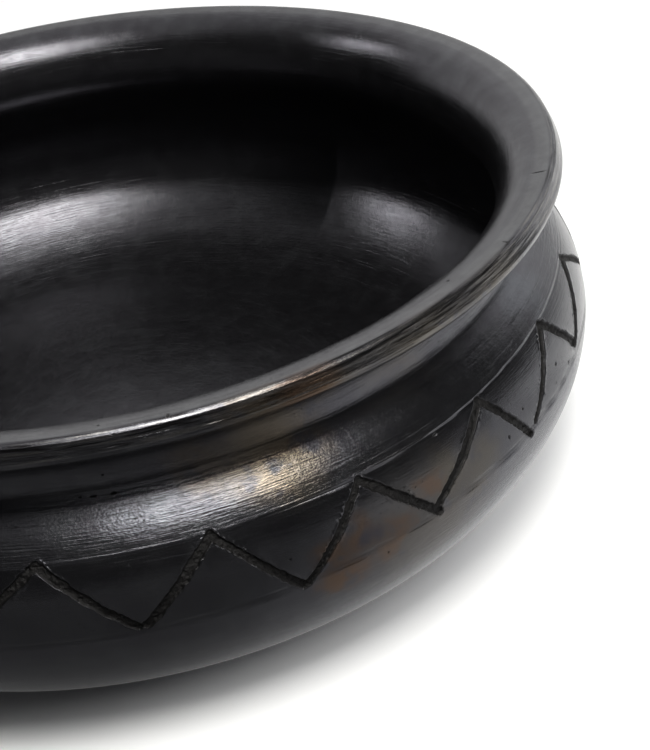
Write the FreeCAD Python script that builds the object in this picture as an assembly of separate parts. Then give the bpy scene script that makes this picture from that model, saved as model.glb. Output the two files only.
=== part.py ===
import FreeCAD, Part
import math
import os

# A wide, low, hand-built pot of black burnished clay with an incised zigzag round its belly.
# It stands on the XY plane and its axis is +Z. All sizes are in millimetres.
# The potter builds it from separate pieces of clay: a base slab, a lower wall, a belly coil,
# a shoulder coil, a neck coil and a rim coil that is folded outwards. Each piece sits on the
# one below on a bevelled lap that is scored, wetted with slip and pressed together.

# ---- driving dimensions ----
rim_height = 95.7            # top of the lip above the base
lip_radius = 140.0           # about the outer top edge of the lip
throat_radius = 122.3        # narrowest place inside
neck_radius = 128.8          # narrowest place outside, under the folded rim
belly_radius = 146.5         # widest place outside
belly_height = 44.3          # height of the widest place
foot_turn_height = 5.0       # the edge of the flat bottom is rounded up to this height
wall = 7.2                   # thickness of the belly's wall
floor_thickness = 9.0

# ---- the body's outside is two quarter ellipses that meet at the widest place ----
lower_centre_radius = 46.2
lower_drop = 59.6            # height of the lower ellipse
shoulder_centre_radius = 116.1
shoulder_rise = 30.9         # height of the upper ellipse
shoulder_height = 71.0       # the shoulder ends and the neck begins

# ---- incised decoration on the belly ----
ring_heights = [61.8, 41.1, 39.7]   # one line above the zigzag, and a double line below it
ring_tool_radius = 0.5
tip_height = 60.6
notch_height = 42.0
stylus_radius = 1.25         # blunt tool that scratched the zigzag
stylus_depth = 1.1
# the teeth are drawn by eye, so their widths in degrees are uneven
tooth_widths = [17.4, 16.4, 17.7, 15.8, 15.3] + [17.2, 17.4] * 7 + [17.8, 17.4]
first_tip = -102.4           # direction of the first tooth's tip, in degrees

# ---- bevelled laps: each slopes down from outside to inside across the wall ----
lap_slope = 0.35             # drop of a lap for each millimetre towards the axis
lap_heights = {"lower_wall": 33.0, "belly_coil": 66.0, "shoulder_coil": 73.0, "neck_coil": 86.0}
slab_bottom_radius = 100.0
slab_top_radius = 92.0
clearance = 20.0             # how far the parting shapes reach past the clay

centre = FreeCAD.Vector(0, 0, 0)
up = FreeCAD.Vector(0, 0, 1)


def in_section(radius, height):
    """A point of the half section, which lies in the XZ plane."""
    return FreeCAD.Vector(radius, 0, height)


def on_belly(direction, height, lift):
    """A point over the burnished surface, in a direction given in degrees."""
    radius = body_radius(height) + lift
    turn = math.radians(direction)
    return FreeCAD.Vector(radius * math.cos(turn), radius * math.sin(turn), height)


def body_radius(height):
    """Outside radius of the lower wall, belly and shoulder at a height."""
    if height < belly_height:
        middle = lower_centre_radius
        share = (belly_height - height) / lower_drop
    else:
        middle = shoulder_centre_radius
        share = (height - belly_height) / shoulder_rise
    return middle + (belly_radius - middle) * math.sqrt(1 - share * share)


def wall_lean(height):
    """How much the lower wall spreads outwards for each millimetre of height."""
    share = (belly_height - height) / lower_drop
    spread = (belly_radius - lower_centre_radius) / lower_drop
    return spread * share / math.sqrt(1 - share * share)


def line(start, end):
    return Part.makeLine(in_section(*start), in_section(*end))


def arc(start, middle, end):
    points = [in_section(*point) for point in (start, middle, end)]
    return Part.Arc(*points).toShape()


def smooth_curve(points):
    """One smooth curve through a few section points."""
    curve = Part.BSplineCurve()
    curve.interpolate([in_section(*point) for point in points])
    return curve.toShape()


def body_curve(low, high):
    """The outside of the body between two heights."""
    spans = 5
    heights = [low + (high - low) * step / spans for step in range(spans + 1)]
    return smooth_curve([(body_radius(height), height) for height in heights])


def revolve(edges):
    """Turn a closed section outline about the pot's axis into a solid."""
    face = Part.Face(Part.Wire(edges))
    return face.revolve(centre, up, 360)


def revolve_corners(corners):
    """Turn a section outline with straight sides into a solid."""
    ends = corners[1:] + corners[:1]
    return revolve([line(start, end) for start, end in zip(corners, ends)])


def foot_outline():
    """The flat bottom and its rounded edge, up to the lower wall."""
    rise = math.atan2(1, wall_lean(foot_turn_height))
    turn_radius = foot_turn_height / (1 - math.cos(rise))
    foot_radius = body_radius(foot_turn_height) - turn_radius * math.sin(rise)

    def on_turn(angle):
        return (foot_radius + turn_radius * math.sin(angle), turn_radius * (1 - math.cos(angle)))

    return [line((0, 0), (foot_radius, 0)), arc((foot_radius, 0), on_turn(rise / 2), on_turn(rise))]


def whole_pot():
    """All the clay of the pot, before it is parted into its pieces."""
    shoulder = (body_radius(shoulder_height), shoulder_height)
    neck = (neck_radius, rim_height - 19.2)
    under_lip = (lip_radius - 5.5, rim_height - 10.0)
    lip_edge = (lip_radius + 0.6, rim_height - 0.8)
    lip_roll = (lip_radius - 0.9, rim_height - 0.15)
    crest = (lip_radius - 2.6, rim_height)
    lip = [
        under_lip,
        (lip_radius - 1.8, rim_height - 8.7),
        (lip_radius + 0.9, rim_height - 7.2),
        (lip_radius + 2.3, rim_height - 5.1),
        (lip_radius + 2.0, rim_height - 3.4),
        lip_edge,
    ]
    floor_edge = (slab_top_radius + 1.0, floor_thickness)
    inner_wall = [
        crest,
        (lip_radius - 6.8, rim_height - 0.9),
        (lip_radius - 10.5, rim_height - 2.5),
        (lip_radius - 13.6, rim_height - 5.2),
        (throat_radius + 1.8, rim_height - 8.7),
        (throat_radius + 0.4, rim_height - 13.1),
        (throat_radius, rim_height - 18.7),
        (throat_radius + 4.5, rim_height - 26.5),
        (belly_radius - wall - 2.0, belly_height + 8.7),
        (belly_radius - wall - 0.4, belly_height - 0.8),
        (belly_radius - wall - 1.8, belly_height - 8.1),
        (belly_radius - wall - 4.8, belly_height - 14.9),
        (belly_radius - wall - 8.2, floor_thickness + 16.4),
        (belly_radius - wall - 13.9, floor_thickness + 11.6),
        (belly_radius - wall - 22.8, floor_thickness + 6.1),
        (belly_radius - wall - 34.3, floor_thickness + 2.0),
        floor_edge,
    ]
    return revolve(foot_outline() + [
        body_curve(foot_turn_height, belly_height),
        body_curve(belly_height, shoulder_height),
        arc(shoulder, neck, under_lip),
        smooth_curve(lip),
        arc(lip_edge, lip_roll, crest),
        smooth_curve(inner_wall),
        line(floor_edge, (0, floor_thickness)),
        line((0, floor_thickness), (0, 0)),
    ])


def space_below(height):
    """All the space below a lap joint that starts outside the wall at a height."""
    outside = belly_radius + clearance
    lap_outer = lip_radius + 3.0
    lap_inner = throat_radius - 3.0
    drop = lap_slope * (lap_outer - lap_inner)
    return revolve_corners([
        (0, -clearance),
        (outside, -clearance),
        (outside, height),
        (lap_outer, height),
        (lap_inner, height - drop),
        (0, height - drop),
    ])


def slab_space():
    """The space of the base slab, whose bevelled edge leans in towards the top."""
    lean = (slab_bottom_radius - slab_top_radius) / floor_thickness
    top = floor_thickness + 2.0
    return revolve_corners([
        (0, -1.0),
        (slab_bottom_radius + lean, -1.0),
        (slab_bottom_radius - lean * top, top),
        (0, top),
    ])


def ring_groove(height):
    """A fine line scratched all the way round."""
    return Part.makeTorus(body_radius(height), ring_tool_radius, in_section(0, height), up)


def stroke(start, end):
    """One scratch of the zigzag between two (direction, height) ends, blunt at its start."""
    lift = stylus_radius - stylus_depth
    middle = ((start[0] + end[0]) / 2, (start[1] + end[1]) / 2)
    places = [on_belly(direction, height, lift) for direction, height in (start, middle, end)]
    runs = []
    for here, there in zip(places, places[1:]):
        runs.append(Part.makeSphere(stylus_radius, here))
        runs.append(Part.makeCylinder(stylus_radius, (there - here).Length, here, there - here))
    return runs


def zigzag():
    """All the scratches of the zigzag: down from each tip to a notch, and up again."""
    scratches = []
    tip = first_tip
    for width in tooth_widths:
        notch = (tip + width / 2, notch_height)
        scratches += stroke((tip, tip_height), notch)
        scratches += stroke(notch, (tip + width, tip_height))
        tip += width
    return scratches


def part_clay():
    """Part the whole pot at its lap joints into the potter's pieces, by name."""
    clay = whole_pot()
    pieces = {"base_slab": clay.common(slab_space())}
    clay = clay.cut(slab_space())
    for name, height in lap_heights.items():
        below = space_below(height)
        pieces[name] = clay.common(below)
        clay = clay.cut(below)
    pieces["rim_coil"] = clay
    return pieces


os.makedirs("parts", exist_ok=True)
pieces = part_clay()
lines = [ring_groove(height) for height in ring_heights]
pieces["belly_coil"] = pieces["belly_coil"].cut(lines).cut(zigzag())
for name, piece in pieces.items():
    piece.exportStep("parts/" + name + ".step")
    box = piece.optimalBoundingBox()
    print(name, "solids", len(piece.Solids), "valid", piece.isValid(), "volume", round(piece.Volume),
          "z", round(box.ZMin, 2), round(box.ZMax, 2), "radius", round(box.XMax, 2))
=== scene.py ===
import math

import bmesh
import bpy
import numpy as np
from mathutils import Matrix, Vector


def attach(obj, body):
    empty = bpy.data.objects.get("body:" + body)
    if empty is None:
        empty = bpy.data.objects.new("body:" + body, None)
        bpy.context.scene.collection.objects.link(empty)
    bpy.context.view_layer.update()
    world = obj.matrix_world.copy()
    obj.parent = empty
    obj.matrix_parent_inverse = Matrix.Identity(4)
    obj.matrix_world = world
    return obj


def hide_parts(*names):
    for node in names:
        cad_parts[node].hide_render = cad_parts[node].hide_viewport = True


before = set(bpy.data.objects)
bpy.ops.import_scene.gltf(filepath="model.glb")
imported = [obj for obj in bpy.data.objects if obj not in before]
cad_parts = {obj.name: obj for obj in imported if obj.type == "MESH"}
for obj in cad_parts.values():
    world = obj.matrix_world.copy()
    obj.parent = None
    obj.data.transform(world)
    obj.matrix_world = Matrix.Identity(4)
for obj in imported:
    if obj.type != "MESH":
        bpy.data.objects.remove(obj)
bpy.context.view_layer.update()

# A wide, low, hand-built pot of black burnished clay. The outline and the decoration are worked out
# in millimetres, as (radius, height) of the half section, and become metres when the meshes are made.
# "Along" is the distance along the outline from the middle of the bottom, up the outside, over the
# lip and down the inside. "Turn" is the direction round the axis, in radians.
MM = 0.001
TINY = 1e-9                  # keeps a division by a length from failing
SEED = 11

# ---- the pot's outline ----
BELLY_RADIUS = 146.5
BELLY_HEIGHT = 44.3
LOWER_CENTRE_RADIUS = 46.2
LOWER_DROP = 59.6
SHOULDER_CENTRE_RADIUS = 116.1
SHOULDER_RISE = 30.9
SHOULDER_HEIGHT = 71.0
FOOT_TURN_HEIGHT = 5.0
FLOOR_THICKNESS = 9.0
SLAB_BOTTOM_RADIUS = 100.0
SLAB_TOP_RADIUS = 92.0
NECK_ARC = [(131.39, 71.0), (128.8, 76.5), (134.5, 85.7)]
LIP_CURVE = [(134.5, 85.7), (138.2, 87.0), (140.9, 88.6), (142.1, 90.3), (142.2, 91.3)]
LIP_FACET = [(142.2, 91.3), (140.6, 94.9)]
LIP_ROLL = [(140.6, 94.9), (139.75, 95.55), (138.6, 95.85), (137.4, 95.7)]
INNER_WALL = [(137.4, 95.7), (133.2, 94.8), (129.5, 93.2), (126.4, 90.5), (124.1, 87.0), (122.7, 82.6),
              (122.3, 77.0), (126.8, 69.2), (137.3, 53.0), (138.9, 43.5), (137.5, 36.2), (134.5, 29.4),
              (131.1, 25.4), (125.4, 20.6), (116.5, 15.1), (105.5, 11.1), (98.0, 9.4), (93.0, 9.0)]

# ---- the lap joints between the potter's pieces slope down inwards ----
LAPS = {"lower_wall": 33.0, "belly_coil": 66.0, "shoulder_coil": 73.0, "neck_coil": 86.0}
LAP_OUTER_RADIUS = 143.0
LAP_INNER_RADIUS = 119.3
LAP_SLOPE = 0.35

# ---- incised decoration: places are (direction in degrees, distance along the outline) ----
TIPS = [(-102.4, 189.0), (-85.0, 188.6), (-68.6, 188.6), (-50.9, 189.2), (-35.1, 190.8), (-19.8, 190.9)]
# each notch is where the stroke down ends and where the next stroke up starts
NOTCHES = [((-93.5, 168.6), (-92.8, 168.7)), ((-76.9, 166.6), (-76.5, 166.9)),
           ((-60.4, 168.7), (-60.5, 171.0)), ((-44.3, 168.7), (-43.2, 171.3)),
           ((-29.3, 174.7), (-29.0, 174.7))]
# the other teeth repeat, with a little wander in degrees or millimetres
TEETH_LEFT = 16
NOTCH_WANDER = 0.5
TIP_WANDER = 0.6
NOTCH_LIFT = (1.6, 3.2)      # above the lower line
STROKE_GAP = (0.1, 0.9)      # from the end of one stroke to the start of the next
STROKE_STEP = (0, 1.2)
TIP_DROP = (0.4, 1.2)        # below the upper line

BELLY_ZONE = (160, 200)      # the scratches lie between these places along the outline
STROKE_RADIUS = BELLY_RADIUS * 0.98
GROOVE_HALF_WIDTH = 1.36
GROOVE_DEPTH = 0.80
GROOVE_BOW = 0.16            # how far a stroke bends away from straight, at most
BOW_STEP = 2.4               # radians of a sine from one stroke to the next
WIDTH_CHANGE = 0.12
WIDTH_STEP = 1.7
# shares of the groove's half width
GROOVE_SIDE = (0.58, 1.0)
GROOVE_MASK = (0.80, 1.02)
BURR_MIDDLE = 1.12
BURR_HALF_WIDTH = 0.22
BURR_HEIGHT = 0.10

# the scratched rings aren't quite level
UPPER_LINE = [(-180, 189.2), (-90, 189.1), (-72, 189.5), (-60, 189.8), (-52, 190.5), (-44, 191.4),
              (-30, 191.9), (20, 192.0), (90, 190.0), (180, 189.2)]
LOWER_LINE = [(-180, 166.5), (-90, 166.2), (-75, 167.2), (-58, 168.2), (-45, 169.4), (-35, 171.0),
              (-28, 172.0), (20, 172.3), (90, 169.0), (180, 166.5)]
LINE_TREMBLE = 0.12
TREMBLES = 40                # round the pot
BAND_DEPTH = 0.16            # the band between the two lines lies this much lower
UPPER_STEP = (-0.5, 0.1)     # from its line, where the band's upper side rises
LOWER_STEP = (-0.3, 0.5)
# (distance from the line, half width, height) of the marks at the two lines
UPPER_MARKS = [(-0.3, 0.42, -0.14), (0.2, 0.6, 0.08)]
LOWER_MARKS = [(0.0, 0.36, -0.12), (1.2, 0.36, -0.12)]

# (direction, distance along the outline, half width across, half width along, depth)
PITS = [(-58.2, 188.8, 0.8, 0.5, 0.5), (-48.6, 174.5, 0.6, 0.9, 0.35), (-45.2, 178.2, 0.5, 0.7, 0.2),
        (-67.3, 165.2, 0.35, 0.4, 0.3), (-37.7, 184.6, 0.8, 0.8, 0.7), (-36.2, 178.6, 0.6, 0.5, 0.4),
        (-37.2, 174.2, 0.4, 0.35, 0.3), (-32.6, 173.8, 0.9, 0.35, 0.3), (-95.8, 204.4, 1.3, 0.35, 0.35),
        (-93.6, 204.3, 1.1, 0.5, 0.5), (-97.2, 204.6, 0.7, 0.25, 0.2), (-94.4, 209.0, 0.5, 0.35, 0.3),
        (-86.6, 237.3, 0.7, 0.8, 0.35), (-50.3, 242.2, 0.6, 0.5, 0.25), (-93.4, 239.9, 0.5, 0.5, 0.2),
        (-41.0, 237.6, 0.35, 1.3, 0.15), (-23.8, 239.5, 0.22, 2.6, 0.3), (-92.0, 235.0, 0.9, 0.3, 0.2),
        (-77.9, 176.1, 0.5, 0.5, 0.3), (-82.0, 183.0, 0.5, 0.4, 0.3)]
PIT_FLOOR = 0.35             # share of a pit's width that is flat

# layers of noise: (strength, cells round the pot, spacing along the outline, number of the layer)
RAGGED_EDGE = [(0.15, 900, 0.9, 5), (0.17, 340, 2.6, 6)]
ROUGH_FLOOR = [(0.24, 1100, 0.7, 7), (0.20, 420, 1.9, 8)]
BROKEN_BURR = [(0.5, 260, 3.5, 9)]
BURNISHING = [(0.022, 17, 4.6, 20), (0.007, 31, 2.3, 21)]
UNEVEN_WALL = [(0.16, 11, 22.0, 23)]
# (waves round the pot, height, phase): the pot isn't perfectly round
WAVES = [(2, 0.20, 0.7), (3, 0.14, 2.1), (5, 0.10, 0.4)]
WOBBLE_STARTS = (100, 150)
WOBBLE_ENDS = (110, 60)      # before the end of the outline
FLAT_BOTTOM = 104            # no relief up to this place along the outline
CALM_RADIUS = 30             # the relief fades out inside this radius on the floor

# (rise, from, to) along the outline: the shoulder swells a little, drops over a soft edge and levels out
SHOULDER_STEPS = [(0.30, 199.0, 203.2), (-0.50, 203.0, 206.0), (0.20, 206.2, 210.0)]

# a ridge between two burnished strips at the left of the front, lower to both sides of its top
RIDGE_PLACE = 198.6
RIDGE_TOP = -92
RIDGE_SLOPE = 0.11           # millimetres for each degree
RIDGE_HEIGHT = 0.035
RIDGE_HALF_WIDTH = 0.5
RIDGE_MIDDLE = -91
RIDGE_REACH = 12             # degrees

# one burnished strip on the right shoulder ends in a sharp edge
STRIP_PLACE = 197.37
STRIP_MIDDLE = -34.5
STRIP_SLOPE = 0.11
STRIP_BEND = 0.004
STRIP_HEIGHT = 0.10
STRIP_REACH = 12.5           # degrees
STRIP_RISE = (-0.35, 0.15)
STRIP_FALL = (0.4, 6.0)

# ---- the mesh: sizes of its cells in millimetres along the outline and in degrees round the pot ----
ROW_STEP = 1.2
# (from, to, step) for the parts that need finer or coarser rows; the last that fits is taken
ROW_STEPS = [(224, 246, 0.55), (190, 224, 0.8), (262, math.inf, 2.2)]
LIP_EDGE_REACH = 0.6
LIP_EDGE_STEP = 0.2
FIRST_TURN, LAST_TURN = 90, 450
FRONT = -60
COLUMN_ZONE = 66             # columns are closer together up to this angle from the front
COLUMN_STEPS = (0.36, 0.56)
FINE_ZONE = 56               # the scratches are refined twice up to this angle
SCRATCH_REACH = 1.45         # in half widths of the groove
UPPER_REACH = 1.1
LOWER_MIDDLE = 0.6
LOWER_REACH = 1.2
PIT_MARGIN = 0.5
ON_SURFACE = 1e-3            # a whole lap share within this is on the hand-made surface
WELD = 2e-6                  # metres


# ------------------------------------------------------------------ outline

def body_radius(height):
    """Outside radius of the lower wall, belly and shoulder at a height."""
    low = height < BELLY_HEIGHT
    middle = np.where(low, LOWER_CENTRE_RADIUS, SHOULDER_CENTRE_RADIUS)
    share = np.where(low, (BELLY_HEIGHT - height) / LOWER_DROP, (height - BELLY_HEIGHT) / SHOULDER_RISE)
    return middle + (BELLY_RADIUS - middle) * np.sqrt(1 - share ** 2)


def straight(start, end, count=300):
    return np.linspace(start, end, count)


def arc_through(points, count=240):
    """Points on the circle through three section points, from the first to the last."""
    (ax, ay), (bx, by), (cx, cy) = points
    double_area = 2 * (ax * (by - cy) + bx * (cy - ay) + cx * (ay - by))
    a, b, c = ax * ax + ay * ay, bx * bx + by * by, cx * cx + cy * cy
    middle_x = (a * (by - cy) + b * (cy - ay) + c * (ay - by)) / double_area
    middle_y = (a * (cx - bx) + b * (ax - cx) + c * (bx - ax)) / double_area
    angles = np.unwrap([math.atan2(y - middle_y, x - middle_x) for x, y in points])
    sweep = np.linspace(angles[0], angles[2], count)
    size = math.hypot(ax - middle_x, ay - middle_y)
    return np.column_stack([middle_x + size * np.cos(sweep), middle_y + size * np.sin(sweep)])


def curve_through(points, count=1200):
    """A natural cubic spline through section points."""
    knots = np.array(points, float)
    gaps = np.hypot(*np.diff(knots, axis=0).T)
    places = np.r_[0, np.cumsum(gaps)]
    last = len(knots) - 1
    matrix = np.eye(last + 1)
    bends = np.zeros((last + 1, 2))
    for i in range(1, last):
        matrix[i, i - 1:i + 2] = gaps[i - 1], 2 * (gaps[i - 1] + gaps[i]), gaps[i]
        bends[i] = 6 * ((knots[i + 1] - knots[i]) / gaps[i] - (knots[i] - knots[i - 1]) / gaps[i - 1])
    second = np.linalg.solve(matrix, bends)
    at = np.linspace(0, places[-1], count)
    k = np.clip(np.searchsorted(places, at, side="right") - 1, 0, last - 1)
    before = ((places[k + 1] - at) / gaps[k])[:, None]
    after = 1 - before
    size = (gaps[k] ** 2 / 6)[:, None]
    return (before * knots[k] + after * knots[k + 1]
            + ((before ** 3 - before) * second[k] + (after ** 3 - after) * second[k + 1]) * size)


def foot_turn(count=40):
    """The rounded edge of the flat bottom, tangent to the floor and to the lower wall."""
    share = (BELLY_HEIGHT - FOOT_TURN_HEIGHT) / LOWER_DROP
    lean = (BELLY_RADIUS - LOWER_CENTRE_RADIUS) / LOWER_DROP * share / math.sqrt(1 - share ** 2)
    rise = math.atan2(1, lean)
    size = FOOT_TURN_HEIGHT / (1 - math.cos(rise))
    foot_radius = float(body_radius(np.array(FOOT_TURN_HEIGHT))) - size * math.sin(rise)
    angles = np.linspace(0, rise, count)
    return np.column_stack([foot_radius + size * np.sin(angles), size * (1 - np.cos(angles))])


def body_wall(low_count=400, high_count=300):
    """The two quarter ellipses of the body, from the foot to the shoulder."""
    low = np.linspace(math.asin((BELLY_HEIGHT - FOOT_TURN_HEIGHT) / LOWER_DROP), 0, low_count)
    high = np.linspace(0, math.asin((SHOULDER_HEIGHT - BELLY_HEIGHT) / SHOULDER_RISE), high_count)
    heights = np.r_[BELLY_HEIGHT - LOWER_DROP * np.sin(low), BELLY_HEIGHT + SHOULDER_RISE * np.sin(high)]
    return np.column_stack([body_radius(heights), heights])


def whole_outline(no_step=1e-5):
    """The closed half section: under the base, up the outside, over the lip and down the inside."""
    foot = foot_turn()
    inner = curve_through(INNER_WALL)
    runs = [straight((0, 0), foot[0]), foot, body_wall(), arc_through(NECK_ARC),
            curve_through(LIP_CURVE, count=300), straight(*LIP_FACET), curve_through(LIP_ROLL, count=200),
            inner, straight(inner[-1], (0, FLOOR_THICKNESS))]
    points = np.vstack(runs)
    steps = np.hypot(*np.diff(points, axis=0).T)
    return points[np.r_[True, steps > no_step]]


OUTLINE = whole_outline()
ALONG = np.r_[0, np.cumsum(np.hypot(*np.diff(OUTLINE, axis=0).T))]
END = ALONG[-1]
LIP_EDGE, CREST = (ALONG[np.argmin(np.hypot(*(OUTLINE - end).T))] for end in (LIP_ROLL[0], LIP_ROLL[-1]))


def section(along):
    """(radius, height) of the outline at a distance along it."""
    return np.interp(along, ALONG, OUTLINE[:, 0]), np.interp(along, ALONG, OUTLINE[:, 1])


def section_normal(along, reach=0.25):
    """Outward direction of the outline, as (radius, height) parts."""
    r0, z0 = section(along - reach)
    r1, z1 = section(along + reach)
    size = np.maximum(np.hypot(r1 - r0, z1 - z0), TINY)
    return (z1 - z0) / size, (r0 - r1) / size


def crossing(height, inside):
    """Where a lap joint meets the outline, outside or inside the wall."""
    drop = LAP_SLOPE * (LAP_OUTER_RADIUS - np.clip(OUTLINE[:, 0], LAP_INNER_RADIUS, LAP_OUTER_RADIUS))
    over = OUTLINE[:, 1] - (height - drop)
    found = np.flatnonzero(np.sign(over[:-1]) != np.sign(over[1:]))
    side = ALONG[found] > CREST if inside else ALONG[found] < CREST
    k = found[side][0]
    share = over[k] / (over[k] - over[k + 1])
    return float(ALONG[k] + share * (ALONG[k + 1] - ALONG[k]))


# ------------------------------------------------------------------ noise

TABLE_SIZE = 512
TABLE = np.random.default_rng(SEED).uniform(-1, 1, (TABLE_SIZE, TABLE_SIZE))
LAYER_SHIFT = 97             # columns of the table between one layer of noise and the next
LAYER_OFFSET = 61.7          # rows between them


def smooth_step(value, low, high):
    share = np.clip((value - low) / (high - low), 0, 1)
    return share * share * (3 - 2 * share)


def bump(distance, half_width):
    """1 at distance 0, falling smoothly to 0 at half_width."""
    share = np.clip(1 - (distance / half_width) ** 2, 0, 1)
    return share * share


def soft_noise(turn, along, around, spacing, layer):
    """Smooth noise from -1 to 1: cells `around` the pot, and `spacing` millimetres along the outline."""
    x = (turn / (2 * math.pi)) % 1 * around
    y = along / spacing + LAYER_OFFSET * layer
    ix, iy = np.floor(x).astype(int), np.floor(y).astype(int)
    fx, fy = smooth_step(x - ix, 0, 1), smooth_step(y - iy, 0, 1)
    shift = LAYER_SHIFT * layer
    left, right = ((column % around % TABLE_SIZE + shift) % TABLE_SIZE for column in (ix, ix + 1))
    low, high = iy % TABLE_SIZE, (iy + 1) % TABLE_SIZE
    bottom = TABLE[left, low] * (1 - fx) + TABLE[right, low] * fx
    top = TABLE[left, high] * (1 - fx) + TABLE[right, high] * fx
    return bottom * (1 - fy) + top * fy


def layered_noise(turn, along, layers):
    return sum(strength * soft_noise(turn, along, around, spacing, layer)
               for strength, around, spacing, layer in layers)


# ------------------------------------------------------------------ hand-made relief, in millimetres

def half_turn(angle):
    """The same angle between -180 and 180 degrees."""
    return (angle + 180) % 360 - 180


def degrees_apart(turn, direction):
    """Signed angle in degrees from a direction."""
    return half_turn(np.degrees(turn) - direction)


def line_level(turn, places, layer):
    """Distance along the outline of a scratched ring, with a slight tremble."""
    directions, levels = zip(*places)
    level = np.interp(degrees_apart(turn, 0), directions, levels)
    return level + LINE_TREMBLE * soft_noise(turn, 0 * turn, TREMBLES, 1.0, layer)


def upper_line(turn):
    return line_level(turn, UPPER_LINE, 3)


def lower_line(turn):
    return line_level(turn, LOWER_LINE, 4)


def zigzag_corners():
    """Tips and notches round the whole pot, in order. Those past the given ones repeat."""
    chance = np.random.default_rng(SEED + 1)
    tips, notches = list(TIPS), list(NOTCHES)
    gap = (360 + TIPS[0][0] - TIPS[-1][0]) / TEETH_LEFT
    for tooth in range(TEETH_LEFT):
        middle = TIPS[-1][0] + gap * (tooth + 0.5) + chance.uniform(-NOTCH_WANDER, NOTCH_WANDER)
        level = float(lower_line(np.radians(middle))) + chance.uniform(*NOTCH_LIFT)
        start = (middle + chance.uniform(*STROKE_GAP), level + chance.uniform(*STROKE_STEP))
        notches.append(((middle, level), start))
        if tooth < TEETH_LEFT - 1:
            tip = TIPS[-1][0] + gap * (tooth + 1) + chance.uniform(-TIP_WANDER, TIP_WANDER)
            tips.append((tip, float(upper_line(np.radians(tip))) - chance.uniform(*TIP_DROP)))
    return tips, notches


def zigzag_strokes():
    """Each scratch as (start, end), two for each tooth."""
    tips, notches = zigzag_corners()
    tips.append((tips[0][0] + 360, tips[0][1]))
    strokes = []
    for i, (down_end, up_start) in enumerate(notches):
        strokes.append((tips[i], down_end))
        strokes.append((up_start, tips[i + 1]))
    return strokes


STROKES = zigzag_strokes()


def groove_field(turn, along):
    """Distance from the nearest scratch's middle line, in half widths, so 1 is its ragged edge."""
    nearest = np.full(turn.shape, np.inf)
    for number, (start, end) in enumerate(STROKES):
        x = np.radians(degrees_apart(turn, start[0])) * STROKE_RADIUS
        y = along - start[1]
        run_x = math.radians(end[0] - start[0]) * STROKE_RADIUS
        run_y = end[1] - start[1]
        length = math.hypot(run_x, run_y)
        share = (x * run_x + y * run_y) / length ** 2
        off = (x * run_y - y * run_x) / length
        # strokes bend and widen a little, each in its own way
        bow = GROOVE_BOW * math.sin(number * BOW_STEP)
        off = off - bow * np.sin(math.pi * np.clip(share, 0, 1))
        over = np.maximum(np.maximum(-share, share - 1), 0) * length
        width = GROOVE_HALF_WIDTH * (1 + WIDTH_CHANGE * math.sin(number * WIDTH_STEP))
        nearest = np.minimum(nearest, np.hypot(off, over) / width)
    return nearest * (1 + layered_noise(turn, along, RAGGED_EDGE))


def zigzag_relief(turn, along):
    """(offset, groove mask) of the zigzag."""
    offset = np.zeros(turn.shape)
    mask = np.zeros(turn.shape)
    near = (along > BELLY_ZONE[0]) & (along < BELLY_ZONE[1])
    if near.any():
        turn, along = turn[near], along[near]
        field = groove_field(turn, along)
        floor = 1 + layered_noise(turn, along, ROUGH_FLOOR)
        cut = 1 - smooth_step(field, *GROOVE_SIDE)
        burr = bump(field - BURR_MIDDLE, BURR_HALF_WIDTH) * (0.5 + layered_noise(turn, along, BROKEN_BURR))
        offset[near] = -GROOVE_DEPTH * cut * floor + burr * BURR_HEIGHT
        mask[near] = 1 - smooth_step(field, *GROOVE_MASK)
    return offset, mask


def rings_relief(turn, along):
    """(offset, band mask): the band between the scratched rings lies lower, with fine lines at its edges."""
    top, bottom = upper_line(turn), lower_line(turn)
    band = smooth_step(along - bottom, *LOWER_STEP) * (1 - smooth_step(along - top, *UPPER_STEP))
    offset = -BAND_DEPTH * band
    for edge, marks in ((top, UPPER_MARKS), (bottom, LOWER_MARKS)):
        for place, half_width, height in marks:
            offset += height * bump(along - edge - place, half_width)
    return offset, band


def pits_relief(turn, along):
    """(offset, mask) of the small pits and chips."""
    offset = np.zeros(turn.shape)
    mask = np.zeros(turn.shape)
    radius = section(along)[0]
    for direction, place, across, up, depth in PITS:
        x = np.radians(degrees_apart(turn, direction)) * radius
        hole = 1 - smooth_step(np.hypot(x / across, (along - place) / up), PIT_FLOOR, 1.0)
        offset -= depth * hole
        mask = np.maximum(mask, hole)
    return offset, mask


def burnish_relief(turn, along):
    """Shallow strips left by the burnishing stone, which run round the pot, and one ridge between two."""
    off_ridge = along - (RIDGE_PLACE - RIDGE_SLOPE * np.abs(degrees_apart(turn, RIDGE_TOP)))
    fade = bump(degrees_apart(turn, RIDGE_MIDDLE), RIDGE_REACH)
    ridge = RIDGE_HEIGHT * bump(off_ridge, RIDGE_HALF_WIDTH) * fade
    return layered_noise(turn, along, BURNISHING) + ridge


def shape_wobble(turn, along):
    """How far the wall is from perfectly round. The bottom and the floor are true."""
    fall_start, fall_end = (END - place for place in WOBBLE_ENDS)
    share = smooth_step(along, *WOBBLE_STARTS) * (1 - smooth_step(along, fall_start, fall_end))
    swell = sum(height * np.sin(waves * turn + phase) for waves, height, phase in WAVES)
    return share * (swell + layered_noise(turn, along, UNEVEN_WALL))


def scratched_strip(turn, along):
    """One burnished strip on the right shoulder ends in a sharp edge."""
    across = degrees_apart(turn, STRIP_MIDDLE)
    past_edge = along - (STRIP_PLACE - STRIP_SLOPE * across + STRIP_BEND * across ** 2)
    profile = smooth_step(past_edge, *STRIP_RISE) * (1 - smooth_step(past_edge, *STRIP_FALL))
    return STRIP_HEIGHT * bump(across, STRIP_REACH) * profile


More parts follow.
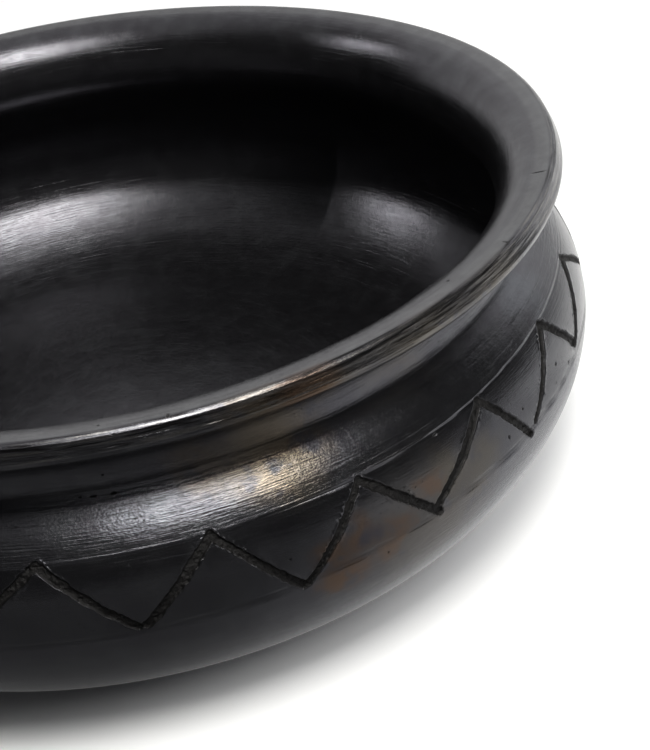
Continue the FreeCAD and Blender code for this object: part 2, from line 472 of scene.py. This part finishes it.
def shoulder_edge(along):
    """The shoulder swells a little, then drops over a soft edge into the neck."""
    return sum(rise * smooth_step(along, low, high) for rise, low, high in SHOULDER_STEPS)


def relief(turn, along):
    """How far the hand-made surface stands proud of the plain outline, and masks of its cuts and band."""
    zigzag, cut = zigzag_relief(turn, along)
    rings, band = rings_relief(turn, along)
    pits, holes = pits_relief(turn, along)
    offset = zigzag + rings + pits + burnish_relief(turn, along) + shape_wobble(turn, along)
    offset = offset + shoulder_edge(along) + scratched_strip(turn, along)
    return offset, np.maximum(cut, holes), band


def surface(turn, along):
    """Points of the hand-made surface, in millimetres."""
    radius, height = section(along)
    out, up = section_normal(along)
    offset = relief(turn, along)[0]
    offset = offset * smooth_step(radius, 0, CALM_RADIUS) * np.where(along < FLAT_BOTTOM, 0, 1)
    radius = radius + out * offset
    height = np.maximum(height + up * offset, 0)
    return np.column_stack([radius * np.cos(turn), radius * np.sin(turn), height])


def surface_normals(turn, along, step=0.12, least_radius=0.5, no_normal=1e-7):
    """Unit normals of the hand-made surface from small steps across it."""
    radius = np.maximum(section(along)[0], least_radius)
    across = surface(turn + step / radius, along) - surface(turn - step / radius, along)
    up = surface(turn, np.minimum(along + step, END)) - surface(turn, np.maximum(along - step, 0))
    normals = np.cross(across, up)
    size = np.linalg.norm(normals, axis=1, keepdims=True)
    out, rise = section_normal(along)
    plain = np.column_stack([out * np.cos(turn), out * np.sin(turn), rise])
    return np.where(size > no_normal, normals / np.maximum(size, TINY), plain)


# ------------------------------------------------------------------ meshes

def row_step(along):
    """Distance between rows of the mesh: fine on the lip, coarse where nothing small is drawn."""
    step = np.full(np.shape(along), ROW_STEP)
    for low, high, size in ROW_STEPS:
        step = np.where((along > low) & (along < high), size, step)
    return np.where(np.abs(along - LIP_EDGE) < LIP_EDGE_REACH, LIP_EDGE_STEP, step)


def spaced(fine, steps):
    """Places from the first to the last of many fine ones, about a step apart."""
    passed = np.r_[0, np.cumsum(np.diff(fine) / steps[1:])]
    return np.interp(np.linspace(0, passed[-1], int(math.ceil(passed[-1])) + 1), passed, fine)


def row_places(start, end, count=2000):
    """Places along the outline from start to end, spaced as row_step says."""
    fine = np.linspace(start, end, count)
    return spaced(fine, row_step(fine))


def column_turns(count=7201):
    """Directions of the mesh's columns in degrees, closest together at the front right."""
    fine = np.linspace(FIRST_TURN, LAST_TURN, count)
    seen = np.abs(half_turn(fine - FRONT)) < COLUMN_ZONE
    return spaced(fine, np.where(seen, *COLUMN_STEPS))


def near_marks(turn, along, level):
    """Whether a place is close to a cut, a line or a pit, where the mesh is made finer. The second
    time, at level 1, only the pits and the scratches in front count."""
    close = np.zeros(turn.shape, bool)
    seen = np.abs(degrees_apart(turn, FRONT)) < FINE_ZONE
    belly = (along > BELLY_ZONE[0]) & (along < BELLY_ZONE[1]) & (seen if level else True)
    close[belly] = groove_field(turn[belly], along[belly]) < SCRATCH_REACH
    if level == 0:
        close |= np.abs(along - upper_line(turn)) < UPPER_REACH
        close |= np.abs(along - lower_line(turn) - LOWER_MIDDLE) < LOWER_REACH
    radius = section(along)[0]
    for direction, place, across, up, depth in PITS:
        x = np.radians(degrees_apart(turn, direction)) * radius
        close |= np.hypot(x / (across + PIT_MARGIN), (along - place) / (up + PIT_MARGIN)) < 1
    return close


def refine(bm, levels):
    """Halve the cells near the marks, once or twice. The mesh is still flat: x is the direction
    in degrees, y the lap share and z the distance along the outline."""
    for level in range(levels):
        ends = np.array([[tuple(v.co) for v in e.verts] for e in bm.edges])
        middle = ends.mean(axis=1)
        on_surface = np.abs(middle[:, 1] - np.round(middle[:, 1])) < ON_SURFACE
        close = near_marks(np.radians(middle[:, 0]), middle[:, 2], level) & on_surface
        wanted = [e for e, chosen in zip(bm.edges, close) if chosen]
        bmesh.ops.subdivide_edges(bm, edges=wanted, cuts=1, use_grid_fill=True)


def flat_mesh(rows, turns):
    """The piece's skin laid out flat, before it is wrapped round the pot's axis."""
    grid_turn, row = np.meshgrid(turns, np.arange(len(rows)))
    points = np.stack([grid_turn, rows[row, 1], rows[row, 0]], -1).reshape(-1, 3)
    wide = len(turns)
    corner = (np.arange(len(rows) - 1)[:, None] * wide + np.arange(wide - 1)[None, :]).ravel()
    faces = np.column_stack([corner, corner + 1, corner + wide + 1, corner + wide])
    mesh = bpy.data.meshes.new("flat")
    mesh.from_pydata(points.tolist(), [], faces.tolist())
    return mesh


def wrapped_points(turn, lap, along, laps):
    """Points in millimetres: on the hand-made surface, or on the straight lap between two places."""
    points = np.empty((len(turn), 3))
    share = lap - np.floor(lap + ON_SURFACE / 10)
    flat = share < ON_SURFACE
    points[flat] = surface(turn[flat], along[flat])
    for number, (start, end) in enumerate(laps):
        here = ~flat & (np.floor(lap) == number)
        if here.any():
            low = surface(turn[here], np.full(here.sum(), start))
            high = surface(turn[here], np.full(here.sum(), end))
            points[here] = low + (high - low) * share[here, None]
    return points


def sides_of(mesh):
    """How many sides each face has."""
    sides = np.empty(len(mesh.polygons), int)
    mesh.polygons.foreach_get("loop_total", sides)
    return sides


def shade_by_surface(mesh):
    """Smooth shading that runs on across the joints between the pieces; the laps stay flat."""
    count = len(mesh.vertices)
    turn, along = np.empty(count, np.float32), np.empty(count, np.float32)
    mesh.attributes["turn"].data.foreach_get("value", turn)
    mesh.attributes["along"].data.foreach_get("value", along)
    turn, along = turn.astype(float), along.astype(float)
    smooth = surface_normals(turn, along)
    corners = np.empty(len(mesh.loops), int)
    mesh.loops.foreach_get("vertex_index", corners)
    flat = np.empty(len(mesh.polygons) * 3)
    mesh.polygons.foreach_get("normal", flat)
    on_lap = np.empty(len(mesh.polygons), int)
    mesh.attributes["lap"].data.foreach_get("value", on_lap)
    sides = sides_of(mesh)
    normals = np.where(np.repeat(on_lap, sides)[:, None] > 0,
                       np.repeat(flat.reshape(-1, 3), sides, axis=0),
                       smooth[corners])
    mesh.polygons.foreach_set("use_smooth", np.ones(len(mesh.polygons), bool))
    mesh.normals_split_custom_set(normals.tolist())
    add_masks(mesh, turn, along)


def add_masks(mesh, turn, along):
    """Per-point masks for the material: rough cuts, and the band between the scratched rings."""
    cut, band = relief(turn, along)[1:]
    for name, values in (("cut", cut), ("band", band)):
        mesh.attributes.new(name, "FLOAT", "POINT").data.foreach_set("value", values.astype(np.float32))


def skin_rows(skins, ring):
    """Rows of (distance along the outline, lap share) over the skins and laps, and the laps' ends. The
    lap share is the skin's number, and on the lap after that skin it grows by the share crossed."""
    rows, laps = [], []
    for number, (start, end) in enumerate(skins):
        rows += [(place, number) for place in row_places(start, end)]
        laps.append((end, skins[(number + 1) % len(skins)][0]))
        if ring or number + 1 < len(skins):
            rows += [(end, number + 1 / 3), (end, number + 2 / 3)]
    if ring:
        rows.append((skins[0][0], len(skins)))
    return np.array(rows), laps


def wrap(bm, laps):
    """Wrap the flat skin round the pot's axis, and note where each point and lap face came from."""
    places = np.array([tuple(v.co) for v in bm.verts])
    turn, lap, along = np.radians(places[:, 0]), places[:, 1], places[:, 2]
    points = wrapped_points(turn, lap, along, laps) * MM
    turn_layer = bm.verts.layers.float.new("turn")
    along_layer = bm.verts.layers.float.new("along")
    lap_layer = bm.faces.layers.int.new("lap")
    off_surface = np.abs(lap - np.round(lap)) > ON_SURFACE
    bm.verts.index_update()
    for face in bm.faces:
        face[lap_layer] = int(any(off_surface[v.index] for v in face.verts))
    for vertex, point, t, a in zip(bm.verts, points.tolist(), turn.tolist(), along.tolist()):
        vertex.co = point
        vertex[turn_layer] = t
        vertex[along_layer] = a
    bmesh.ops.remove_doubles(bm, verts=bm.verts, dist=WELD)


def clay_piece(node, skins, turns, ring=True, levels=0):
    """One of the potter's pieces. Its skins are (start, end) along the outline, joined by laps in turn.
    A ring has a lap back to its first skin too; the slab hasn't, because its skins meet the axis."""
    rows, laps = skin_rows(skins, ring)
    flat = flat_mesh(rows, turns)
    bm = bmesh.new()
    bm.from_mesh(flat)
    bpy.data.meshes.remove(flat)
    refine(bm, levels)
    wrap(bm, laps)
    mesh = bpy.data.meshes.new(node + "_clay")
    bm.to_mesh(mesh)
    bm.free()
    shade_by_surface(mesh)
    piece = bpy.data.objects.new(node + "_clay", mesh)
    bpy.context.scene.collection.objects.link(piece)
    mesh.materials.append(CLAY)
    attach(piece, "root")
    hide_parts(node)
    print(node, len(mesh.vertices), "points", int(np.sum(sides_of(mesh) - 2)), "triangles")


# ------------------------------------------------------------------ materials

class Nodes:
    """Short calls for building a node tree."""

    def __init__(self, tree, output):
        self.tree = tree
        self.tree.nodes.clear()
        self.output = self.add(output)

    def add(self, kind, **settings):
        node = self.tree.nodes.new(kind)
        for name, value in settings.items():
            setattr(node, name, value)
        return node

    def feed(self, socket, value):
        if isinstance(value, bpy.types.NodeSocket):
            self.tree.links.new(value, socket)
        else:
            socket.default_value = value

    def math(self, operation, *values):
        node = self.add("ShaderNodeMath", operation=operation)
        for socket, value in zip(node.inputs, values):
            self.feed(socket, value)
        return node.outputs[0]

    def product(self, first, *others):
        for other in others:
            first = self.math("MULTIPLY", first, other)
        return first

    def weighted(self, *layers):
        """The sum of values, each times its share."""
        total = 0.0
        for value, share in layers:
            total = self.math("MULTIPLY_ADD", value, share, total)
        return total

    def vector(self, operation, first, second=(0, 0, 0)):
        node = self.add("ShaderNodeVectorMath", operation=operation)
        self.feed(node.inputs[0], first)
        self.feed(node.inputs[1], second)
        single = operation in ("DISTANCE", "DOT_PRODUCT")
        return node.outputs["Value"] if single else node.outputs["Vector"]

    def combine(self, x, y, z):
        node = self.add("ShaderNodeCombineXYZ")
        for socket, value in zip(node.inputs, (x, y, z)):
            self.feed(socket, value)
        return node.outputs[0]

    def split(self, vector):
        """The x, y and z parts of a vector."""
        node = self.add("ShaderNodeSeparateXYZ")
        self.feed(node.inputs[0], vector)
        return node.outputs

    def noise(self, where, scale, detail=2.0, roughness=0.5):
        node = self.add("ShaderNodeTexNoise")
        self.feed(node.inputs["Vector"], where)
        self.feed(node.inputs["Scale"], scale)
        self.feed(node.inputs["Detail"], detail)
        self.feed(node.inputs["Roughness"], roughness)
        return node.outputs["Fac"]

    def cells(self, where, scale):
        node = self.add("ShaderNodeTexVoronoi")
        self.feed(node.inputs["Vector"], where)
        self.feed(node.inputs["Scale"], scale)
        return node.outputs["Distance"]

    def ramp(self, value, low, high, to_low=0.0, to_high=1.0):
        node = self.add("ShaderNodeMapRange", interpolation_type="SMOOTHSTEP")
        for socket, given in zip(node.inputs, (value, low, high, to_low, to_high)):
            self.feed(socket, given)
        return node.outputs[0]

    def hump(self, value, rise_from, rise_to, fall_from, fall_to):
        """Rises smoothly from 0 to 1, and falls to 0 again."""
        return self.math("MULTIPLY", self.ramp(value, rise_from, rise_to),
                         self.ramp(value, fall_from, fall_to, 1.0, 0.0))

    def mix(self, share, first, second):
        node = self.add("ShaderNodeMix", data_type="RGBA")
        self.feed(node.inputs[0], share)
        self.feed(node.inputs[6], first)
        self.feed(node.inputs[7], second)
        return node.outputs[2]

    def bump(self, height, distance, strength=1.0):
        node = self.add("ShaderNodeBump")
        self.feed(node.inputs["Height"], height)
        self.feed(node.inputs["Distance"], distance)
        self.feed(node.inputs["Strength"], strength)
        return node.outputs[0]

    def swirl(self, where, scale, size):
        """A smoothly wandering vector, up to about half the size long in each direction."""
        node = self.add("ShaderNodeTexNoise")
        self.feed(node.inputs["Vector"], where)
        self.feed(node.inputs["Scale"], scale)
        centred = self.vector("SUBTRACT", node.outputs["Color"], (0.5, 0.5, 0.5))
        return self.vector("MULTIPLY", centred, (size, size, size))

    def attribute(self, name):
        return self.add("ShaderNodeAttribute", attribute_name=name).outputs["Fac"]


# ---- colours of the clay: linear red, green and blue, and 1 ----
OUTSIDE_BLACKS = (0.087, 0.086, 0.095, 1), (0.104, 0.105, 0.113, 1)
INSIDE_BLACK = (0.054, 0.052, 0.057, 1)
# painted highlight: the lighter colour for the crest of the lip
CREST_HIGHLIGHT_PAINT = (0.185, 0.187, 0.190, 1)
# painted shade: the darker colour of the band between the scratched rings
BAND_PAINTED_SHADE = (0.040, 0.040, 0.044, 1)
# painted shade: the dark colour of the strip on the inner wall
SHADE_STRIP_COLOUR = (0.030, 0.030, 0.033, 1)
# painted highlight: the colour of the pale lines on the lip's face
LIP_HIGHLIGHT_LINE = (0.200, 0.192, 0.184, 1)
DARK_LINE = (0.013, 0.012, 0.012, 1)
CUT_CLAY = (0.031, 0.030, 0.030, 1)
RUST = (0.140, 0.090, 0.060, 1)
TAN = (0.124, 0.110, 0.090, 1)
BRONZE = (0.130, 0.106, 0.080, 1)
# painted highlight: a lighter bronze that draws the shoulder's highlight out further
PAINTED_HIGHLIGHT_BRONZE = (0.165, 0.141, 0.112, 1)
SMOKE = (0.074, 0.068, 0.080, 1)
# painted sheen: a lighter, bluish colour for brighter patches on the shoulder
PAINTED_SHEEN_SILVER = (0.122, 0.128, 0.142, 1)

# (direction, distance along the outline, radius in millimetres, strength, tint)
# the pale bronze cloud on the shoulder is a painted highlight, and the silver ones are painted sheen
CLOUDS_AND_PAINTED_SHEEN = [(-62.0, 166.0, 32.0, 0.5, TAN), (-76.0, 202.5, 19.0, 1.0, PAINTED_HIGHLIGHT_BRONZE),
               (-84.0, 206.0, 12.0, 0.5, BRONZE), (-72.0, 224.0, 20.0, 0.7, BRONZE),
               (-77.0, 237.0, 18.0, 1.0, BRONZE), (-73.0, 235.0, 14.0, 0.9, RUST),
               (-58.0, 227.0, 24.0, 0.8, TAN), (-46.0, 229.0, 18.0, 0.7, TAN),
               (-58.5, 177.5, 11.0, 1.0, TAN), (-53.5, 174.0, 11.0, 0.8, TAN),
               (-61.0, 178.5, 5.5, 0.9, RUST), (-73.5, 172.5, 7.0, 1.0, RUST),
               (-70.0, 174.5, 8.0, 1.0, RUST), (-65.5, 172.0, 7.0, 0.9, RUST),
               (-72.5, 164.5, 9.0, 0.9, RUST), (-67.5, 166.0, 7.0, 0.7, RUST),
               (-68.9, 173.4, 4.8, 1.0, SMOKE), (-33.0, 201.0, 16.0, 0.6, PAINTED_SHEEN_SILVER),
               (-92.0, 199.0, 12.0, 0.3, PAINTED_SHEEN_SILVER), (22.0, 225.0, 20.0, 0.5, TAN),
               (88.0, 180.0, 30.0, 0.6, TAN), (90.0, 172.0, 13.0, 0.9, RUST),
               (100.0, 200.0, 20.0, 0.7, BRONZE), (152.0, 172.0, 18.0, 0.7, TAN),
               (-150.0, 200.0, 22.0, 0.6, BRONZE)]
CLOUD_CORE = 0.2             # share of a cloud's radius that has its full strength
CLOUD_MOTTLE = (0.30, 0.50)  # the clouds are patchy: none below the first value of the mottle
COARSE_SWIRL = (110.0, 0.010)    # scale, and metres by which a cloud's edge is pushed about
SMALL_SWIRL = (420.0, 0.004)

# masks: each fades in between the first two values and out between the last two
LIP_FACE = (229.0, 232.0, 236.6, 237.2)
LIP_CREST = (236.6, 237.6, 240.3, 242.3)
# turns and places of the painted shade strip on the inner wall
SHADE_STRIP_TURNS = (7.105, 7.120, 7.12, 7.55)
SHADE_STRIP_PLACES = (297.0, 307.0, 328.0, 344.0)
OUTSIDE_FADE = (232.0, 240.0)    # where the outside's finish gives way to the inside's
# how strongly the crest's painted highlight is mixed in
CREST_HIGHLIGHT_SHARE = 0.7
# how strongly the band's painted shade is mixed in
BAND_SHADE_SHARE = 0.45
LEAST_ROUGHNESS = 0.055
CUT_ROUGHNESS = 0.6
METALLIC = (0.92, 0.965)         # inside and outside
CALM_INSIDE, CALM_BAND = 0.75, 0.55

# scales of the noise: cells in a metre, or for the streaks (round the pot, per millimetre along, detail)
FINE_STREAKS, MEDIUM_STREAKS = (13.0, 2.6, 3.0), (7.0, 1.1, 2.0)
BROAD_STREAKS, SINGLE_LINES = (3.5, 0.30, 2.0), (3.5, 2.6, 1.0)
GRAIN_SCALE, CRUMB_SCALE, LUMP_SCALE, MOTTLE_SCALE = 1600.0, 1200.0, 420.0, 150.0
SPECK_SCALE, SPECK_PATCH_SCALE = 420.0, 60.0
# where the noise fades in or out
SPECK_EDGE = (0.05, 0.12)
SPECK_PATCHES = (0.52, 0.62)
BLACK_MOTTLE = (0.35, 0.7)
SINGLE_LINE_EDGE = (0.62, 0.72)
# (from, to, strength before, strength after) of the lip's lines in the medium streaks
# the pale lines are painted highlights
LIP_HIGHLIGHT_LINES = (0.36, 0.50, 0.7, 0.0)
DARK_LIP_LINES = (0.52, 0.62, 0.0, 0.85)
RELIEF_DEPTH = 0.00020       # metres of the material's own relief


def place_on_pot(direction, along):
    radius, height = section(along)
    turn = math.radians(direction)
    return (float(radius) * math.cos(turn) * MM, float(radius) * math.sin(turn) * MM, float(height) * MM)


def towards(azimuth, elevation):
    turn, rise = math.radians(azimuth), math.radians(elevation)
    return (math.cos(turn) * math.cos(rise), math.sin(turn) * math.cos(rise), math.sin(rise))


def new_material(name):
    material = bpy.data.materials.new(name)
    material.use_nodes = True
    return material, Nodes(material.node_tree, "ShaderNodeOutputMaterial")


def clouds_and_painted_sheen(n, where, black, mottle):
    """Brown patches outside, where the smoke was thin, and lighter patches of painted highlight and sheen,
    all with soft uneven edges.
    """
    swirl = n.vector("ADD", n.swirl(where, *COARSE_SWIRL), n.swirl(where, *SMALL_SWIRL))
    warped = n.vector("ADD", where, swirl)
    colour = black
    for direction, along, radius, strength, tint in CLOUDS_AND_PAINTED_SHEEN:
        away = n.vector("DISTANCE", warped, place_on_pot(direction, along))
        cloud = n.ramp(away, radius * MM * CLOUD_CORE, radius * MM, strength, 0.0)
        colour = n.mix(n.product(cloud, n.ramp(mottle, *CLOUD_MOTTLE)), colour, tint)
    return colour


def streaks(n, where, along, round_scale, along_scale, detail):
    """Noise drawn out round the pot, as the burnishing stone leaves it."""
    x, y = n.split(where)[:2]
    turned_x, turned_y = n.split(n.vector("NORMALIZE", n.combine(x, y, 0.0)))[:2]
    stretched = n.combine(n.product(turned_x, round_scale), n.product(turned_y, round_scale),
                          n.product(along, along_scale))
    return n.noise(stretched, 1.0, detail, roughness=0.6)


def dark_specks(n, where, outside):
    """Small pits in the burnished outside, gathered in patches."""
    shifted = n.vector("ADD", where, (0.013, 0.007, 0.003))
    dots = n.ramp(n.cells(shifted, SPECK_SCALE), *SPECK_EDGE, 1.0, 0.0)
    patches = n.ramp(n.noise(where, SPECK_PATCH_SCALE, detail=1.0), *SPECK_PATCHES)
    return n.product(dots, patches, outside)


def clay_colour(n, where, along, outside, mottle, medium, specks):
    """Black with brown clouds and patches of painted sheen, a painted highlight on the crest, a streaked lip
    with painted highlight lines, painted shade on the band and in a strip inside, and darker cuts.
    """
    black = n.mix(n.ramp(mottle, *BLACK_MOTTLE), *OUTSIDE_BLACKS)
    # painted highlight: the crest of the lip is painted lighter, for the bright reflection along it
    black = n.mix(n.product(n.hump(along, *LIP_CREST), CREST_HIGHLIGHT_SHARE), black, CREST_HIGHLIGHT_PAINT)
    inside = n.mix(mottle, INSIDE_BLACK, black)
    colour = n.mix(outside, inside, clouds_and_painted_sheen(n, where, black, mottle))
    # painted shade: the band between the scratched rings is painted darker, for the dark surroundings it
    # mirrors
    colour = n.mix(n.product(n.attribute("band"), BAND_SHADE_SHARE), colour, BAND_PAINTED_SHADE)
    # painted shade on the inner wall: a darker strip with one sharp edge, where the highlight there stops
    shade_strip = n.product(n.hump(n.attribute("turn"), *SHADE_STRIP_TURNS), n.hump(along, *SHADE_STRIP_PLACES))
    colour = n.mix(shade_strip, colour, SHADE_STRIP_COLOUR)
    # the lip's face gets lines in its colour, following the medium streaks: pale ones, which are painted
    # highlights, and dark ones
    lip = n.hump(along, *LIP_FACE)
    colour = n.mix(n.product(lip, n.ramp(medium, *LIP_HIGHLIGHT_LINES)), colour, LIP_HIGHLIGHT_LINE)
    dark_lines = n.product(lip, n.ramp(medium, *DARK_LIP_LINES))
    colour = n.mix(n.math("MAXIMUM", dark_lines, specks), colour, DARK_LINE)
    return n.mix(n.attribute("cut"), colour, CUT_CLAY)


def burnished_clay():
    """Charcoal black clay rubbed to a graphite sheen, with streaks along the turning direction."""
    material, n = new_material("burnished_clay")
    where = n.add("ShaderNodeTexCoord").outputs["Object"]
    along, cut = n.attribute("along"), n.attribute("cut")
    fine, medium, broad, lines = (streaks(n, where, along, *scales) for scales in
                                  (FINE_STREAKS, MEDIUM_STREAKS, BROAD_STREAKS, SINGLE_LINES))
    grain = n.noise(where, GRAIN_SCALE, detail=3.0, roughness=0.6)
    lumps = n.noise(where, LUMP_SCALE)
    mottle = n.noise(where, MOTTLE_SCALE, detail=4.0, roughness=0.6)
    crumbs = n.noise(where, CRUMB_SCALE, detail=4.0, roughness=0.7)
    outside = n.ramp(along, *OUTSIDE_FADE, 1.0, 0.0)
    specks = dark_specks(n, where, outside)

    rough = n.weighted((fine, 0.10), (medium, 0.05), (broad, 0.09), (mottle, 0.08))
    rough = n.math("MAXIMUM", n.math("ADD", rough, LEAST_ROUGHNESS), n.product(cut, CUT_ROUGHNESS))

    height = n.weighted((fine, 0.42), (medium, 0.16), (grain, 0.30), (lumps, 0.20),
                        (n.ramp(lines, *SINGLE_LINE_EDGE), -0.10))
    # the inside and the band are smoother than the rest
    calm = n.product(n.ramp(outside, 0.0, 1.0, CALM_INSIDE, 1.0),
                     n.ramp(n.attribute("band"), 0.0, 1.0, 1.0, CALM_BAND))
    height = n.weighted((n.product(height, calm), 1.0), (specks, -0.6), (n.product(crumbs, cut), 2.0))

    shader = n.add("ShaderNodeBsdfPrincipled")
    n.feed(shader.inputs["Base Color"], clay_colour(n, where, along, outside, mottle, medium, specks))
    n.feed(shader.inputs["Metallic"], n.ramp(outside, 0.0, 1.0, *METALLIC))
    n.feed(shader.inputs["Roughness"], rough)
    n.feed(shader.inputs["Anisotropic"], 0.45)
    n.feed(shader.inputs["Anisotropic Rotation"], 0.25)
    tangent = n.add("ShaderNodeTangent", direction_type="RADIAL", axis="Z")
    n.feed(shader.inputs["Tangent"], tangent.outputs[0])
    n.feed(shader.inputs["Normal"], n.bump(height, RELIEF_DEPTH))
    n.feed(n.output.inputs["Surface"], shader.outputs[0])
    return material


# painted shade: a glowing card just over the floor in front of the pot, seen only in the pot's reflections,
# stands in for the shade on the floor there; it brightens towards one direction
CARD_CORNERS = [(-1.2, -1.2), (1.2, -1.2), (1.2, -0.30), (0.17, -0.02), (-1.2, -0.02)]
CARD_HEIGHT = 0.0006
CARD_TURN = 38
CARD_FADE = (-0.11, 0.06)    # metres from the pot's axis
CARD_LEVELS = (0.15, 1.02)


def paper_floor():
    """A white seamless sheet."""
    material, n = new_material("white_paper")
    where = n.add("ShaderNodeTexCoord").outputs["Object"]
    shader = n.add("ShaderNodeBsdfPrincipled")
    n.feed(shader.inputs["Base Color"], (0.92, 0.92, 0.92, 1))
    n.feed(shader.inputs["Roughness"], 0.9)
    n.feed(shader.inputs["Specular IOR Level"], 0.1)
    n.feed(shader.inputs["Normal"], n.bump(n.noise(where, 900.0), distance=0.00005, strength=0.3))
    n.feed(n.output.inputs["Surface"], shader.outputs[0])
    return material


def painted_floor_shade():
    """Painted shade, glowing and only mirrored in the pot: dark at the left, as bright as the paper at the
    right.
    """
    material, n = new_material("painted_floor_shade")
    across = n.vector("DOT_PRODUCT", n.add("ShaderNodeTexCoord").outputs["Object"], towards(CARD_TURN, 0))
    shader = n.add("ShaderNodeEmission")
    n.feed(shader.inputs["Strength"], n.ramp(across, *CARD_FADE, *CARD_LEVELS))
    n.feed(n.output.inputs["Surface"], shader.outputs[0])
    return material


# ------------------------------------------------------------------ the pot

CLAY = burnished_clay()

OUTER = {name: crossing(height, inside=False) for name, height in LAPS.items()}
INNER = {name: crossing(height, inside=True) for name, height in LAPS.items()}
SLAB_EDGE = SLAB_BOTTOM_RADIUS
FLOOR_EDGE = END - SLAB_TOP_RADIUS
TURNS = column_turns()
SLAB_TURNS = np.linspace(FIRST_TURN, LAST_TURN, LAST_TURN - FIRST_TURN + 1)

clay_piece("base_slab", [(0.0, SLAB_EDGE), (FLOOR_EDGE, END)], SLAB_TURNS, ring=False)
clay_piece("lower_wall", [(SLAB_EDGE, OUTER["lower_wall"]), (INNER["lower_wall"], FLOOR_EDGE)], TURNS,
           levels=2)
ORDER = list(LAPS)
for below, above in zip(ORDER, ORDER[1:]):
    clay_piece(above, [(OUTER[below], OUTER[above]), (INNER[above], INNER[below])], TURNS, levels=2)
clay_piece("rim_coil", [(OUTER["neck_coil"], INNER["neck_coil"])], TURNS, levels=2)


# ------------------------------------------------------------------ floor, light and camera

def flat_sheet(name, corners, height, material):
    """A level sheet with its corners at some (x, y), in metres."""
    mesh = bpy.data.meshes.new(name)
    mesh.from_pydata([(x, y, height) for x, y in corners], [], [tuple(range(len(corners)))])
    mesh.materials.append(material)
    sheet = bpy.data.objects.new(name, mesh)
    bpy.context.scene.collection.objects.link(sheet)
    return sheet


flat_sheet("floor", [(-6, -6), (6, -6), (6, 6), (-6, 6)], 0, paper_floor())

# painted shade for the floor in front of the pot, seen only in reflections
card = flat_sheet("painted_floor_shade", CARD_CORNERS, CARD_HEIGHT, painted_floor_shade())
for kind in ("camera", "diffuse", "shadow", "transmission"):
    setattr(card, "visible_" + kind, False)


POT_MIDDLE = 0.05            # metres over the floor


def soft_box(name, azimuth, elevation, distance, width, height, radiance, colour=(1, 1, 1)):
    """A rectangular soft box that looks at the pot's middle from a direction in degrees."""
    lamp = bpy.data.lights.new(name, "AREA")
    lamp.shape = "RECTANGLE"
    lamp.size, lamp.size_y = width, height
    # a flat lamp's watts for the radiance that is seen in it
    lamp.energy = radiance * math.pi * width * height
    lamp.color = colour
    box = bpy.data.objects.new(name, lamp)
    bpy.context.scene.collection.objects.link(box)
    aim = Vector(towards(azimuth, elevation))
    box.location = Vector((0, 0, POT_MIDDLE)) + aim * distance
    box.rotation_euler = aim.to_track_quat("Z", "Y").to_euler()
    box.visible_camera = False
    return box


soft_box("main_box", azimuth=-67, elevation=67, distance=1.3, width=0.56, height=0.54, radiance=13.5,
         colour=(1.0, 0.99, 0.95))
left_box = soft_box("left_box", azimuth=154, elevation=41, distance=1.5, width=0.42, height=0.12,
                    radiance=14.5)
left_box.visible_diffuse = False
paper_fill = soft_box("paper_fill", azimuth=-25, elevation=38, distance=2.0, width=1.2, height=1.2,
                      radiance=5.2)
paper_fill.visible_glossy = False


# (azimuth, elevation, half angle of the full part, half angle where it ends, radiance added)
ROOM_PATCHES = [(-72, 58, 6, 30, 0.5), (-30, 71, 6, 24, 1.7), (34, 28, 6, 20, 0.6),
                (-8, 45, 14, 36, -0.85), (-10, 16, 14, 34, -0.72), (83, 46, 12, 28, 0.40),
                (17, 16, 4, 15, -0.5), (-26, 30, 10, 24, -0.4)]
SWEEP_TURN = 57              # the white sweep's middle, in degrees
SWEEP_EDGE = (-0.29, 0.21)   # cosines of the angle from that middle
SWEEP_TOP = (0.58, 0.80)     # heights on a ball of radius 1 where the sweep fades
SWEEP_LEFT_OVER = 0.15
CEILING_FADE = (0.72, 0.95)
CEILING_LEVEL = 0.6
ROOM_LEVEL = 0.04


def studio_room():
    """A white sweep behind and to the right of the pot, a pale ceiling and a dim room elsewhere."""
    world = bpy.data.worlds.new("studio")
    bpy.context.scene.world = world
    world.use_nodes = True
    n = Nodes(world.node_tree, "ShaderNodeOutputWorld")
    where = n.add("ShaderNodeTexCoord").outputs["Generated"]
    x, y, z = n.split(where)
    level = n.vector("NORMALIZE", n.combine(x, y, 0.0))
    sweep = n.ramp(n.vector("DOT_PRODUCT", level, towards(SWEEP_TURN, 0)), *SWEEP_EDGE)
    sweep = n.product(sweep, n.ramp(z, *SWEEP_TOP, 1.0, SWEEP_LEFT_OVER))
    light = n.math("ADD", sweep, n.ramp(z, *CEILING_FADE, 0.0, CEILING_LEVEL))
    for azimuth, elevation, full, end, radiance in ROOM_PATCHES:
        facing = n.vector("DOT_PRODUCT", where, towards(azimuth, elevation))
        patch = n.ramp(facing, math.cos(math.radians(end)), math.cos(math.radians(full)), 0.0, radiance)
        light = n.math("ADD", light, patch)
    background = n.add("ShaderNodeBackground")
    n.feed(background.inputs["Strength"], n.math("MAXIMUM", light, ROOM_LEVEL))
    n.feed(n.output.inputs["Surface"], background.outputs[0])


studio_room()

FOCAL_LENGTH = 86.23         # millimetres, for a sensor 36 mm wide
CAMERA_PLACE = (0, -0.49462, 0.31886)
YAW, PITCH, ROLL = math.radians(-7.389), math.radians(-31.70), math.radians(-8.347)

camera_data = bpy.data.cameras.new("camera")
camera_data.lens = FOCAL_LENGTH
camera_data.sensor_width = 36.0
camera_data.clip_start = 0.01
camera = bpy.data.objects.new("camera", camera_data)
bpy.context.scene.collection.objects.link(camera)
camera.matrix_world = (Matrix.Translation(CAMERA_PLACE) @ Matrix.Rotation(YAW, 4, "Z")
                       @ Matrix.Rotation(math.radians(90) + PITCH, 4, "X") @ Matrix.Rotation(ROLL, 4, "Z"))
bpy.context.scene.camera = camera
bpy.context.scene.view_settings.view_transform = "Standard"
